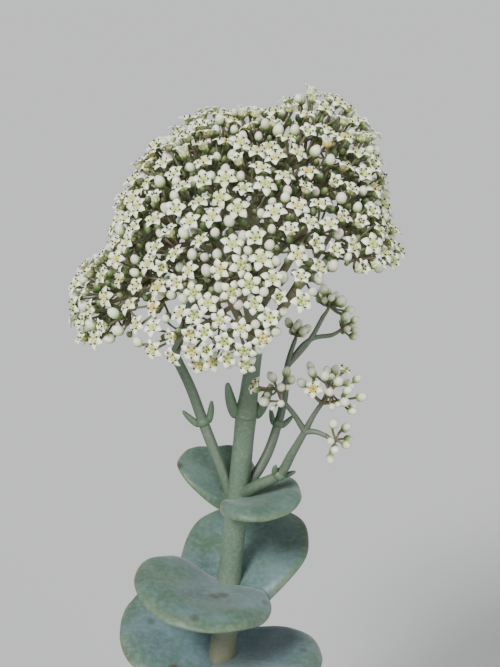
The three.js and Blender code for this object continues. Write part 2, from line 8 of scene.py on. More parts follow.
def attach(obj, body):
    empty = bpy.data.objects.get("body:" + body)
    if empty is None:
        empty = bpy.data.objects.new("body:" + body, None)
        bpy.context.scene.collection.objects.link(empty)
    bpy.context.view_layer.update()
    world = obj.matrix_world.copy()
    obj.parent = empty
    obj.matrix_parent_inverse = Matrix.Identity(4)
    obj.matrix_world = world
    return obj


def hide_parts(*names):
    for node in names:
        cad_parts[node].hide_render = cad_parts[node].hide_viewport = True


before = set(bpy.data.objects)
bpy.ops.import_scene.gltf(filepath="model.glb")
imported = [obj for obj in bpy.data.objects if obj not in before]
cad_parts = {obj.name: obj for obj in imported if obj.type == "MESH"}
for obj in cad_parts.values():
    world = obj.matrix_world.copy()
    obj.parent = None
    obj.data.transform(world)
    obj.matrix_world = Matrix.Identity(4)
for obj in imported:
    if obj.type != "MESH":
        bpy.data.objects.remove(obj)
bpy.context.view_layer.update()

MM = 0.001


# Camera. It looks slightly down on the plant from in front, as a short telephoto lens
# held half a metre away does. The frame takes in the flower head and the upper leaves.
PHOTO_WIDTH, PHOTO_HEIGHT = 500, 667
FOCAL_PIXELS = 1562.5
SENSOR = 36
AIM = Vector((11, 0, 243.9)) * MM
ELEVATION = math.radians(18)
DISTANCE = 500 * MM

view_back = Vector((0, -math.cos(ELEVATION), math.sin(ELEVATION)))
bpy.ops.object.camera_add(
    location=AIM + view_back * DISTANCE,
    rotation=(math.pi / 2 - ELEVATION, 0, 0),
)
camera = bpy.context.object
camera.name = "camera"
camera.data.sensor_width = SENSOR
camera.data.lens = SENSOR * FOCAL_PIXELS / max(PHOTO_WIDTH, PHOTO_HEIGHT)
camera.data.clip_start = 0.01
camera.data.clip_end = 50
bpy.context.scene.camera = camera


# Floor and light. A plain pale floor that runs on past the view, one broad soft light from
# the upper left in front, a weak one from the right and an even pale sky.
FLOOR_RADIUS = 14
FLOOR_COLOR = (0.5, 0.5, 0.495, 1)
SKY_COLOR = (0.8, 0.83, 0.87, 1)
SKY_STRENGTH = 0.52
SUN_TURN = (48, -8, -22)
SUN_STRENGTH = 4.7
SUN_SOFTNESS = 18
FILL_TURN = (76, 0, 39)
FILL_STRENGTH = 1.3
FILL_SOFTNESS = 34


def new_finish(name, roughness):
    """A material, its nodes and links, its shader and the place on the object."""
    material = bpy.data.materials.new(name)
    material.use_nodes = True
    tree = material.node_tree
    shader = tree.nodes["Principled BSDF"]
    shader.inputs["Roughness"].default_value = roughness
    place = tree.nodes.new("ShaderNodeTexCoord").outputs["Object"]
    return material, tree, shader, place


bpy.ops.object.select_all(action="DESELECT")
bpy.ops.mesh.primitive_circle_add(vertices=96, radius=FLOOR_RADIUS, fill_type="NGON")
floor = bpy.context.object
floor.name = "floor"
floor_finish, tree, shader, place = new_finish("floor_paper", 0.9)
shader.inputs["Base Color"].default_value = FLOOR_COLOR
floor.data.materials.append(floor_finish)

bpy.ops.object.light_add(type="SUN", rotation=[math.radians(turn) for turn in SUN_TURN])
key_light = bpy.context.object
key_light.name = "key_light"
key_light.data.energy = SUN_STRENGTH
key_light.data.angle = math.radians(SUN_SOFTNESS)
bpy.ops.object.light_add(type="SUN", rotation=[math.radians(turn) for turn in FILL_TURN])
fill_light = bpy.context.object
fill_light.name = "fill_light"
fill_light.data.energy = FILL_STRENGTH
fill_light.data.angle = math.radians(FILL_SOFTNESS)
world = bpy.data.worlds.new("studio")
world.use_nodes = True
world.node_tree.nodes["Background"].inputs["Color"].default_value = SKY_COLOR
world.node_tree.nodes["Background"].inputs["Strength"].default_value = SKY_STRENGTH
bpy.context.scene.world = world


# Pot. Plain fired clay, thrown as one piece: a flat base with four drain holes, a flaring
# wall and a straight rim band. It stands on its base.
POT_PROFILE = [
    (33, 1.0), (34.2, 8), (39.5, 38), (44.2, 64.6), (44.4, 65.8), (46.6, 66), (47.6, 66.5),
    (48, 67.4), (48, 70), (48, 77.6), (47.7, 79), (46.8, 79.8), (45.4, 80), (43, 79.8),
    (41.9, 79), (41.3, 77), (41.2, 66), (30.4, 3.3),
]
POT_SIDES = 112
DRAIN_COUNT = 4
DRAIN_CIRCLE = 19
DRAIN_RADIUS = 4


def cloudy(tree, place, scale, detail=3, stretch=(1, 1, 1)):
    """A soft noise from 0 to 1 over the object, and stretched along an axis if asked."""
    mapping = tree.nodes.new("ShaderNodeMapping")
    mapping.inputs["Scale"].default_value = stretch
    tree.links.new(place, mapping.inputs["Vector"])
    texture = tree.nodes.new("ShaderNodeTexNoise")
    texture.inputs["Scale"].default_value = scale
    texture.inputs["Detail"].default_value = detail
    tree.links.new(mapping.outputs["Vector"], texture.inputs["Vector"])
    return texture.outputs["Fac"]


def ramp(tree, value, stops):
    """Colours along a value: stops are pairs of a place from 0 to 1 and a colour."""
    node = tree.nodes.new("ShaderNodeValToRGB")
    elements = node.color_ramp.elements
    while len(elements) < len(stops):
        elements.new(0.5)
    for element, (place, color) in zip(elements, stops):
        element.position = place
        element.color = (*color, 1)
    tree.links.new(value, node.inputs["Fac"])
    return node.outputs["Color"]


def blended(tree, share, first, second, way="MIX"):
    """Two colours, or a colour and a fixed one, mixed by a share."""
    node = tree.nodes.new("ShaderNodeMix")
    node.data_type = "RGBA"
    node.blend_type = way
    for socket, value in ((node.inputs[6], first), (node.inputs[7], second)):
        if isinstance(value, tuple):
            socket.default_value = (*value, 1)
        else:
            tree.links.new(value, socket)
    if isinstance(share, float):
        node.inputs[0].default_value = share
    else:
        tree.links.new(share, node.inputs[0])
    return node.outputs[2]


def embossed(tree, shader, height, strength, depth):
    """Fine relief on a shader from a height pattern, its depth in metres."""
    bump = tree.nodes.new("ShaderNodeBump")
    bump.inputs["Strength"].default_value = strength
    bump.inputs["Distance"].default_value = depth
    tree.links.new(height, bump.inputs["Height"])
    tree.links.new(bump.outputs["Normal"], shader.inputs["Normal"])


def clay_finish():
    """Fired clay: two clouds of red, pale lime dust in patches, and faint throwing rings."""
    material, tree, shader, place = new_finish("fired_clay", 0.88)
    body = ramp(tree, cloudy(tree, place, 26, 5), [
        (0.3, (0.36, 0.135, 0.07)), (0.55, (0.47, 0.19, 0.1)), (0.75, (0.54, 0.25, 0.14)),
    ])
    dust = ramp(tree, cloudy(tree, place, 60, 6), [(0.56, (0, 0, 0)), (0.74, (1, 1, 1))])
    grain = cloudy(tree, place, 2600, 2)
    speckled = blended(tree, 0.35, body, ramp(tree, grain, [
        (0.35, (0.28, 0.1, 0.055)), (0.65, (0.56, 0.27, 0.16)),
    ]))
    shown = blended(tree, dust, speckled, (0.62, 0.42, 0.31))
    tree.links.new(shown, shader.inputs["Base Color"])
    throwing = cloudy(tree, place, 90, 2, (0.15, 0.15, 6))
    relief = blended(tree, 0.45, throwing, grain)
    embossed(tree, shader, relief, 0.35, 0.0006)
    return material


bpy.ops.object.select_all(action="DESELECT")
bpy.ops.mesh.primitive_circle_add(vertices=POT_SIDES, radius=32 * MM, fill_type="NGON")
pot = bpy.context.object
pot.name = "clay_pot"
bpy.ops.object.mode_set(mode="EDIT")
bpy.ops.mesh.select_all(action="SELECT")
last_radius, last_height = 32, 0
for radius, height in POT_PROFILE:
    bpy.ops.mesh.extrude_region_move(
        TRANSFORM_OT_translate={"value": (0, 0, (height - last_height) * MM)},
    )
    bpy.ops.transform.resize(value=(radius / last_radius, radius / last_radius, 1))
    last_radius, last_height = radius, height
bpy.ops.mesh.select_all(action="SELECT")
bpy.ops.mesh.normals_make_consistent(inside=False)
bpy.ops.object.mode_set(mode="OBJECT")
for i in range(DRAIN_COUNT):
    turn = (i + 0.5) * 2 * math.pi / DRAIN_COUNT
    spot = Vector((math.cos(turn), math.sin(turn), 0)) * DRAIN_CIRCLE * MM
    bpy.ops.mesh.primitive_cylinder_add(
        vertices=32, radius=DRAIN_RADIUS * MM, depth=20 * MM, location=spot,
    )
    hole = bpy.context.object
    cut = pot.modifiers.new("drain", "BOOLEAN")
    cut.object = hole
    cut.operation = "DIFFERENCE"
    bpy.context.view_layer.objects.active = pot
    bpy.ops.object.modifier_apply(modifier="drain")
    bpy.data.objects.remove(hole)
bpy.ops.object.select_all(action="DESELECT")
pot.select_set(True)
bpy.context.view_layer.objects.active = pot
bpy.ops.object.shade_smooth_by_angle(angle=math.radians(50))
pot.data.materials.append(clay_finish())
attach(pot, "root")
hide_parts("pot")


# Soil. Dark gritty potting soil that fills the pot to just below the rim, with a scatter
# of small pale stones pressed into it. The stem stands in it.
SOIL_RADIUS = 41
SOIL_LEVEL = 71
SOIL_LOW = 4
SOIL_FOOT = 0.735
SOIL_CELLS = 96
SOIL_CROWN = 1.5
CRUMB_RISE = 0.9
CRUMB_SCALE = 0.22
SOIL_EDGE_DROP = 1.2
GRIT_COUNT = 300
GRIT_REACH = 0.96
GRIT_SIZES = (0.55, 1.15)
STEM_CLEAR = 7


def chance(i, k):
    """A repeatable number from 0 to 1 for piece number i and purpose k."""
    wave = math.sin(i * 12.9898 + k * 78.233) * 43758.5453
    return wave - math.floor(wave)


def soil_height(x, y):
    """Height of the soil's surface in millimetres at a place in millimetres."""
    reach = math.hypot(x, y) / SOIL_RADIUS
    crumbs = noise.fractal(Vector((x * CRUMB_SCALE, y * CRUMB_SCALE, 3)), 1, 2, 4)
    crown = SOIL_CROWN * (1 - reach ** 2) - SOIL_EDGE_DROP * reach ** 8
    return SOIL_LEVEL + crown + CRUMB_RISE * crumbs


def clouded_finish(name, roughness, clouds, stops, relief=None):
    """A finish of soft clouds of colour, of a scale and a detail. The fine relief, if it
    has one, is a scale, a detail, a strength and a depth in metres."""
    material, tree, shader, place = new_finish(name, roughness)
    colour = ramp(tree, cloudy(tree, place, *clouds), stops)
    tree.links.new(colour, shader.inputs["Base Color"])
    if relief:
        scale, detail, strength, depth = relief
        embossed(tree, shader, cloudy(tree, place, scale, detail), strength, depth)
    return material


bpy.ops.object.select_all(action="DESELECT")
bpy.ops.mesh.primitive_grid_add(
    x_subdivisions=SOIL_CELLS, y_subdivisions=SOIL_CELLS, size=2,
)
soil = bpy.context.object
soil.name = "soil_fill"
for vertex in soil.data.vertices:
    x, y = vertex.co.x, vertex.co.y
    round_x = x * math.sqrt(1 - y * y / 2) * SOIL_RADIUS
    round_y = y * math.sqrt(1 - x * x / 2) * SOIL_RADIUS
    vertex.co = Vector((round_x, round_y, soil_height(round_x, round_y))) * MM
bpy.ops.object.mode_set(mode="EDIT")
bpy.ops.mesh.select_all(action="SELECT")
bpy.ops.mesh.extrude_region_move(
    TRANSFORM_OT_translate={"value": (0, 0, (SOIL_LOW - SOIL_LEVEL) * MM)},
)
bpy.ops.transform.resize(value=(SOIL_FOOT, SOIL_FOOT, 0.01))
bpy.ops.mesh.select_all(action="SELECT")
bpy.ops.mesh.normals_make_consistent(inside=False)
bpy.ops.object.mode_set(mode="OBJECT")
lowest = min(vertex.co.z for vertex in soil.data.vertices)
for vertex in soil.data.vertices:
    if vertex.co.z < lowest + 3 * MM:
        vertex.co.z = SOIL_LOW * MM
bpy.ops.object.shade_smooth()
soil.data.materials.append(clouded_finish("potting_soil", 0.95, (420, 6), [
    (0.3, (0.012, 0.008, 0.005)), (0.52, (0.045, 0.029, 0.018)), (0.72, (0.11, 0.075, 0.048)),
], (420, 6, 0.9, 0.0012)))
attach(soil, "root")
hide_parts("soil")


def joined(pieces, name):
    """The given objects joined in one, with its place in its mesh."""
    bpy.ops.object.select_all(action="DESELECT")
    for piece in pieces:
        piece.select_set(True)
    bpy.context.view_layer.objects.active = pieces[0]
    bpy.ops.object.join()
    whole = bpy.context.object
    whole.name = name
    bpy.ops.object.transform_apply(location=True, rotation=True, scale=True)
    return whole


def copied(template, matrix):
    """A copy of a modelled shape with a mesh of its own, set in its place."""
    piece = bpy.data.objects.new(template.name, template.data.copy())
    piece.data.transform(matrix)
    bpy.context.scene.collection.objects.link(piece)
    return piece


def stone(seed):
    """A small round stone with a few soft bulges."""
    bpy.ops.mesh.primitive_ico_sphere_add(subdivisions=2, radius=1)
    shape = bpy.context.object
    for vertex in shape.data.vertices:
        bulge = noise.noise(vertex.co * 1.3 + Vector((seed, 0, 0)))
        vertex.co = vertex.co * (1 + 0.35 * bulge)
    bpy.ops.object.shade_smooth()
    return shape


stones = [stone(seed) for seed in (1, 5, 9)]
grit = []
for i in range(GRIT_COUNT):
    reach = SOIL_RADIUS * GRIT_REACH * math.sqrt(chance(i, 1))
    around = 2 * math.pi * chance(i, 2)
    x, y = reach * math.cos(around), reach * math.sin(around)
    if math.hypot(x + 0.6, y) < STEM_CLEAR:
        continue
    size = GRIT_SIZES[0] + GRIT_SIZES[1] * chance(i, 3) ** 3
    turned = Matrix.Rotation(6.28 * chance(i, 4), 4, (0.3, 0.5, 0.8))
    lying = Matrix.Diagonal((size, size * (0.7 + 0.3 * chance(i, 5)), size * 0.6, 1))
    height = soil_height(x, y) + 0.1 * size
    spot = Matrix.Translation((x, y, height))
    grit.append(copied(stones[i % 3], Matrix.Scale(MM, 4) @ spot @ turned @ lying))
for shape in stones:
    bpy.data.objects.remove(shape)
soil_grit = joined(grit, "soil_grit")
soil_grit.data.materials.append(clouded_finish("grit_stones", 0.8, (230, 1), [
    (0.32, (0.1, 0.085, 0.07)), (0.46, (0.3, 0.25, 0.19)), (0.58, (0.42, 0.4, 0.36)),
    (0.7, (0.2, 0.16, 0.13)),
], (1800, 2, 0.3, 0.0002)))
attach(soil_grit, "root")


# Main stem. One upright fleshy stem, tan and slightly woody low down and grey-green with a
# waxy bloom higher up. It swells a little where each leaf pair grows round it.
STEM_PATH = [
    (-1.8, 0, 42), (-1, 0, 72), (0, 0, 100), (1.3, 0, 126), (3.7, 0, 154.6),
    (6.9, 0, 185.9), (9.7, 0, 216), (11.7, 0, 232), (13.2, 0, 248), (14.5, 0, 266),
]
STEM_RADII = [4.7, 4.9, 4.8, 4.6, 3.9, 3.6, 3.3, 2.7, 2.0, 1.2]
STEM_TIP = [(240, 2.7), (250, 2.0), (260, 1.5), (266, 1.2)]
STEM_TOP = 232.1
STEM_STEP = 4.75
STEM_SWELL = 0.35
SWELL_REACH = 3.2
TAN_TO_GREEN = (0.115, 0.165)
STEM_KNOTS = [86, 104, 126, 154.6, 185.9, 216]


def stem_at(height):
    """The stem's middle point and radius at a height, in millimetres."""
    heights = [point[2] for point in STEM_PATH]
    middle = [np.interp(height, heights, [p[axis] for p in STEM_PATH]) for axis in (0, 1)]
    return Vector((*middle, height)), float(np.interp(height, heights, STEM_RADII))


def grown_tube(name, runs, roundness, steps):
    """A mesh of smooth tapering tubes. Each run is its points and radii in millimetres."""
    bpy.ops.object.select_all(action="DESELECT")
    bpy.ops.curve.primitive_bezier_curve_add()
    piece = bpy.context.object
    piece.name = name
    curve = piece.data
    curve.splines.clear()
    curve.dimensions = "3D"
    curve.bevel_depth = 1
    curve.bevel_resolution = roundness
    curve.resolution_u = steps
    curve.use_fill_caps = True
    for points, radii in runs:
        spline = curve.splines.new("BEZIER")
        spline.radius_interpolation = "CARDINAL"
        spline.bezier_points.add(len(points) - 1)
        for knot, point, radius in zip(spline.bezier_points, points, radii):
            knot.co = Vector(point) * MM
            knot.radius = radius * MM
            knot.handle_left_type = knot.handle_right_type = "AUTO"
    bpy.ops.object.convert(target="MESH")
    bpy.ops.object.shade_smooth()
    return bpy.context.object


def axis_of(tree, vector, axis):
    """One of the three numbers of a place."""
    node = tree.nodes.new("ShaderNodeSeparateXYZ")
    tree.links.new(vector, node.inputs["Vector"])
    return node.outputs[axis]


def weighed(tree, value, weight, added):
    """A value times a weight, and another value added to it."""
    node = tree.nodes.new("ShaderNodeMath")
    node.operation = "MULTIPLY_ADD"
    node.inputs[1].default_value = weight
    tree.links.new(value, node.inputs[0])
    tree.links.new(added, node.inputs[2])
    return node.outputs["Value"]


def stem_finish():
    """The stem's skin: tan below and green above, in patches where they meet."""
    material, tree, shader, place = new_finish("waxy_stem", 0.55)
    span = tree.nodes.new("ShaderNodeMapRange")
    span.inputs["From Min"].default_value, span.inputs["From Max"].default_value = TAN_TO_GREEN
    span.inputs["To Min"].default_value, span.inputs["To Max"].default_value = -0.4, 0.6
    tree.links.new(axis_of(tree, place, "Z"), span.inputs["Value"])
    green = ramp(tree, cloudy(tree, place, 70, 4, (1, 1, 0.35)), [
        (0.3, (0.06, 0.108, 0.062)), (0.5, (0.087, 0.14, 0.087)), (0.7, (0.118, 0.174, 0.121)),
    ])
    tan = ramp(tree, cloudy(tree, place, 90, 5, (1, 1, 0.4)), [
        (0.3, (0.085, 0.08, 0.038)), (0.5, (0.155, 0.136, 0.074)), (0.7, (0.215, 0.188, 0.111)),
    ])
    share = weighed(tree, cloudy(tree, place, 60, 3), 0.8, span.outputs["Result"])
    colour = blended(tree, share, tan, green)
    bloom = ramp(tree, cloudy(tree, place, 900, 3), [(0.4, (0, 0, 0)), (0.75, (0.4, 0.4, 0.4))])
    waxed = blended(tree, bloom, colour, (0.185, 0.232, 0.196))
    tree.links.new(waxed, shader.inputs["Base Color"])
    embossed(tree, shader, cloudy(tree, place, 700, 3, (1, 1, 0.3)), 0.25, 0.0003)
    return material


stem_points = []
stem_radii = []
for height in np.arange(STEM_PATH[0][2], STEM_TOP, STEM_STEP):
    middle, radius = stem_at(height)
    swell = sum(math.exp(-((height - knot) / SWELL_REACH) ** 2) for knot in STEM_KNOTS)
    stem_points.append(middle)
    stem_radii.append(radius + STEM_SWELL * swell)
for height, radius in STEM_TIP:
    stem_points.append(stem_at(height)[0])
    stem_radii.append(radius)
main_stem = grown_tube("stem", [(stem_points, stem_radii)], 8, 4)
main_stem.data.materials.append(stem_finish())
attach(main_stem, "root")
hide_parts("main_stem")


# Leaf pairs. Two thick round leaves grown together round the stem, blue-grey with a waxy
# bloom and greener at the edge, each pair crosswise to the next. Of two values the first is
# for the lobe at the turn; of the waists, the first is on the left of that turn.
LEAF_PAIRS = [
    {"height": 185.9, "turn": -47, "length": (23.9, 22.7), "width": (31, 29.5),
     "waist": (10.8, 6.8), "rise": (7.8, 31.5), "roll": (7.4, -1.7), "cup": 0.011,
     "bulge": (1.8, 0.4), "thickness": 3.2},
    {"height": 154.6, "turn": 60, "length": (34, 37), "width": (42, 51),
     "waist": (20, 15.6), "rise": (28, 5.5), "roll": (1.5, 10), "cup": 0.005,
     "bulge": (0.6, 2.2), "thickness": 3.6},
    {"height": 126, "turn": -30, "length": (35.5, 37), "width": (51.3, 53),
     "waist": (17.8, 15.3), "rise": (5, 22.6), "roll": (0, 17.5), "cup": 0.005,
     "bulge": (1.8, 0.8), "thickness": 4},
    {"height": 104, "turn": 58, "length": (36, 36), "width": (50, 50), "waist": (16, 16),
     "rise": (18, 6), "roll": (4, -3), "cup": 0.008, "bulge": (1.2, 1.6), "thickness": 4},
    {"height": 86, "turn": -32, "length": (32, 32), "width": (44, 44), "waist": (14, 14),
     "rise": (10, 12), "roll": (-3, 3), "cup": 0.01, "bulge": (1.4, 1.4), "thickness": 4},
]
LOBE_TURN = 5
EDGE_WAVE = 0.03
LEAF_DROOP = 0.18
LEAF_SWELL = 2.3
MIDRIB_GROOVE = 0.3


def lobe_outline(angle, length, half_width, waist):
    """Distance from the stem to the leaf pair's edge in one direction."""
    broad = abs(math.sin(angle))
    centre = length - half_width
    disc = centre * abs(math.cos(angle)) + math.sqrt(half_width ** 2 - (centre * broad) ** 2)
    side = math.sqrt(half_width ** 2 - centre ** 2)
    return disc - (side - waist) * broad ** 8


def between(values, share):
    """The second value at share 0, the first at share 1."""
    return values[1] + (values[0] - values[1]) * share


def leaf_point(pair, seed, reach, angle, side):
    """A point of a leaf pair: reach 0 at the stem to 1 at the edge, side -1 to 1."""
    share = (1 + math.cos(angle)) / 2
    long = between(pair["length"], share)
    waist = pair["waist"][0 if angle > 0 else 1]
    outline = lobe_outline(angle, long, between(pair["width"], share) / 2, waist)
    wave = noise.noise(Vector((2.4 * math.cos(angle), 2.4 * math.sin(angle), seed * 7)))
    along = reach * outline * math.cos(angle) * (1 + EDGE_WAVE * wave)
    across = reach * outline * math.sin(angle) * (1 + EDGE_WAVE * wave)
    far = abs(along) / long
    first = 0.5 + 0.5 * math.tanh(along / LOBE_TURN)
    climb = math.tan(math.radians(between(pair["rise"], first)))
    twist = math.tan(math.radians(between(pair["roll"], first)))
    lift = abs(along) * climb * (1 - LEAF_DROOP * far) + across * twist
    lift += pair["cup"] * across ** 2 - 1.5 * math.exp(-far * 9)
    lift += LEAF_SWELL * between(pair["bulge"], first) * reach ** 2 * (1 - reach ** 4)
    lift += 1.1 * wave * reach ** 3
    lift += 0.6 * noise.noise(Vector((along * 0.09, across * 0.09, seed * 3)))
    thick = pair["thickness"] * (1.3 - 0.22 * far) / 2
    groove = MIDRIB_GROOVE * math.exp(-(across / 1.6) ** 2) * min(1, far * 3) if side > 0 else 0
    return Vector((along, across, lift + side * thick - groove))


def measured(tree, name):
    """How far along its shape a place is, as its piece's UV map of that name says."""
    node = tree.nodes.new("ShaderNodeUVMap")
    node.uv_map = name
    return axis_of(tree, node.outputs["UV"], "Y")


def leaf_finish():
    """The leaf's skin: a blue-grey face with greener patches and edge, a waxy bloom that
    is rubbed off here and there, a few brown spots, and the upper leaves made greener and
    darker by height, partly their own tone and partly painted shade under the flower head."""
    material, tree, shader, place = new_finish("waxy_leaf", 0.52)
    reach = measured(tree, "leaf_reach")
    face = ramp(tree, cloudy(tree, place, 75, 5), [
        (0.3, (0.045, 0.09, 0.088)), (0.45, (0.068, 0.122, 0.126)),
        (0.6, (0.092, 0.154, 0.168)), (0.76, (0.12, 0.182, 0.204)),
    ])
    green = ramp(tree, cloudy(tree, place, 130, 3), [
        (0.3, (0.054, 0.092, 0.042)), (0.7, (0.104, 0.145, 0.076)),
    ])
    patches = ramp(tree, weighed(tree, reach, 0.2, cloudy(tree, place, 48, 4)), [
        (0.42, (0, 0, 0)), (0.58, (0.8, 0.8, 0.8)),
    ])
    patched = blended(tree, patches, face, (0.05, 0.1, 0.054))
    rim = ramp(tree, weighed(tree, reach, 3.2, cloudy(tree, place, 90, 4)), [
        (0.2, (0, 0, 0)), (0.46, (0.75, 0.75, 0.75)),
    ])
    edged = blended(tree, rim, patched, green)
    bloom = ramp(tree, cloudy(tree, place, 620, 5), [
        (0.42, (0, 0, 0)), (0.72, (0.34, 0.34, 0.34)),
    ])
    waxed = blended(tree, bloom, edged, (0.17, 0.246, 0.268))
    rubbed = ramp(tree, cloudy(tree, place, 150, 2, (1, 1, 0.5)), [
        (0.6, (0, 0, 0)), (0.72, (0.5, 0.5, 0.5)),
    ])
    worn_and_shaded = blended(tree, rubbed, waxed, (0.052, 0.102, 0.06))
    # Painted shade: the upper leaves are multiplied greener and darker by height, partly their own
    # greener tone and partly painted shade under the flower head.
    upper = ramp(tree, axis_of(tree, place, "Z"), [(0.135, (1, 1, 1)), (0.185, (0.88, 0.93, 0.7))])
    worn_and_shaded = blended(tree, 1.0, worn_and_shaded, upper, "MULTIPLY")
    spots = tree.nodes.new("ShaderNodeTexVoronoi")
    spots.inputs["Scale"].default_value = 95
    tree.links.new(place, spots.inputs["Vector"])
    spot_share = ramp(tree, spots.outputs["Distance"], [
        (0.12, (0.85, 0.85, 0.85)), (0.24, (0, 0, 0)),
    ])
    few = ramp(tree, cloudy(tree, place, 38, 1), [(0.49, (0, 0, 0)), (0.54, (1, 1, 1))])
    spotted = blended(tree, 1.0, spot_share, few, "MULTIPLY")
    shown = blended(tree, spotted, worn_and_shaded, (0.04, 0.034, 0.019))
    tree.links.new(shown, shader.inputs["Base Color"])
    shader.inputs["Sheen Weight"].default_value = 0.2
    shader.inputs["Sheen Roughness"].default_value = 0.5
    embossed(tree, shader, cloudy(tree, place, 520, 5), 0.4, 0.0004)
    return material


def grown_leaves(pair, name, seed):
    """One leaf pair, a ball drawn into its shape. Its UV map is -1 at the stem, 0 at the edge."""
    bpy.ops.object.select_all(action="DESELECT")
    bpy.ops.mesh.primitive_uv_sphere_add(segments=112, ring_count=44, radius=1)
    piece = bpy.context.object
    piece.name = name
    stations = []
    for vertex in piece.data.vertices:
        reach = min(1.0, math.hypot(vertex.co.x, vertex.co.y))
        angle = math.atan2(vertex.co.y, vertex.co.x)
        side = math.copysign(math.sqrt(max(0, 1 - reach ** 7)), vertex.co.z)
        stations.append((reach, angle))
        vertex.co = leaf_point(pair, seed, reach, angle, side)
    layer = piece.data.uv_layers.active
    layer.name = "leaf_reach"
    for loop in piece.data.loops:
        reach, angle = stations[loop.vertex_index]
        layer.data[loop.index].uv = (angle / (2 * math.pi) + 0.5, reach - 1)
    centre = stem_at(pair["height"])[0]
    turned = Matrix.Rotation(math.radians(pair["turn"]), 4, "Z")
    piece.data.transform(Matrix.Scale(MM, 4) @ Matrix.Translation(centre) @ turned)
    bpy.ops.object.shade_smooth()
    return piece


leaf_wax = leaf_finish()
for i, pair in enumerate(LEAF_PAIRS):
    leaves = grown_leaves(pair, f"leaves_{i + 1}", i + 1)
    leaves.data.materials.append(leaf_wax)
    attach(leaves, "root")
    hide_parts(f"leaf_pair_{i + 1}")


# Side stalks. Three green stalks that grow from the axils of the uppermost leaf pair, one
# to the left part of the flower head and two to the loose bud sprays on the right.
LEFT_STALK = {
    "path": [(4.5, 0, 187), (2, 1, 195), (-4.4, 4, 212), (-8.4, 4, 224), (-13.3, 2, 236)],
    "radii": [1.9, 1.8, 1.8, 1.7, 1.6],
}
RIGHT_STALK = {
    "path": [(7.5, 0, 188), (15, 4, 197), (20.3, 9, 209.5), (22.5, 13, 218), (23.4, 17, 227)],
    "radii": [1.7, 1.7, 1.5, 1.3, 1.0],
}
FRONT_STALK = {
    "path": [(7, 0, 187), (13, -5, 193), (20.5, -9, 199), (24.6, -11.5, 207.5),
             (28.4, -14, 215.8)],
    "radii": [2.1, 2.0, 1.7, 1.4, 1.1],
}
RIGHT_SPRAYS = [
    {"hub": (26, 20, 235), "buds": 6, "flowers": 0, "reach": 6, "spread": 50, "seed": 12},
    {"hub": (35.5, 23, 242.5), "buds": 11, "flowers": 0, "reach": 10, "spread": 56, "seed": 2,
     "by": (31, 20.4, 235)},
    {"hub": (38.5, 22, 236.2), "buds": 7, "flowers": 0, "reach": 9, "spread": 40, "seed": 9,
     "by": (31, 20.4, 235)},
]
FRONT_SPRAYS = [
    {"hub": (21, -18, 228), "buds": 8, "flowers": 1, "reach": 10, "spread": 68, "seed": 8},
    {"hub": (33.6, -17, 226.6), "buds": 15, "flowers": 2, "reach": 13, "spread": 66, "seed": 4},
    {"hub": (35, -17, 215.5), "buds": 6, "flowers": 0, "reach": 9, "spread": 74, "seed": 5},
]


def stalk_finish(name, stops, bloom_color):
    """A living stalk's skin: blotches along a ramp of colours under a fine pale bloom."""
    material, tree, shader, place = new_finish(name, 0.55)
    colour = ramp(tree, cloudy(tree, place, 75, 4, (1, 1, 0.5)), stops)
    bloom = ramp(tree, cloudy(tree, place, 900, 3), [(0.45, (0, 0, 0)), (0.8, (0.4, 0.4, 0.4))])
    waxed = blended(tree, bloom, colour, bloom_color)
    tree.links.new(waxed, shader.inputs["Base Color"])
    embossed(tree, shader, cloudy(tree, place, 700, 3), 0.25, 0.0002)
    return material


def stalk_runs(stalk, sprays):
    """A stalk and the branchlets from its tip to the hubs of its loose sprays."""
    runs = [(stalk["path"], stalk["radii"])]
    tip = Vector(stalk["path"][-1])
    for spray in sprays:
        hub = Vector(spray["hub"])
        middle = spray.get("by", tip.lerp(hub, 0.5) + Vector((0, 0, 0.6)))
        runs.append(([tip, middle, hub], [stalk["radii"][-1], 0.85, 0.75]))
    return runs


stalk_green = stalk_finish("green_stalk", [
    (0.28, (0.057, 0.095, 0.052)), (0.44, (0.084, 0.124, 0.08)), (0.56, (0.106, 0.133, 0.093)),
    (0.72, (0.135, 0.124, 0.1)),
], (0.166, 0.195, 0.171))
for name, stalk, sprays, node in (
    ("stalk_right", RIGHT_STALK, RIGHT_SPRAYS, "side_stalk_right"),
    ("stalk_front", FRONT_STALK, FRONT_SPRAYS, "side_stalk_front"),
):
    stalk_piece = grown_tube(name, stalk_runs(stalk, sprays), 4, 8)
    stalk_piece.data.materials.append(stalk_green)
    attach(stalk_piece, "root")
    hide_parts(node)


# Bracts. Small fleshy finger-like leaves in pairs, one pair on the stem below the head and
# one on each side stalk, grown from a narrow collar.
BRACTS = [
    {"name": "bracts_main", "path": STEM_PATH, "spot": 6, "radius": 3.3, "turn": 192,
     "length": 12.5, "width": 4.1, "spread": 27},
    {"name": "bracts_left", "path": LEFT_STALK["path"], "spot": 2, "radius": 1.8, "turn": 0,
     "length": 7.5, "width": 2.6, "spread": 36},
    {"name": "bracts_right", "path": RIGHT_STALK["path"], "spot": 2, "radius": 1.5,
     "turn": 10, "length": 5.5, "width": 2.2, "spread": 38},
    {"name": "bracts_front", "path": FRONT_STALK["path"], "spot": 2, "radius": 1.7,
     "turn": 20, "length": 5, "width": 2.3, "spread": 42},
]


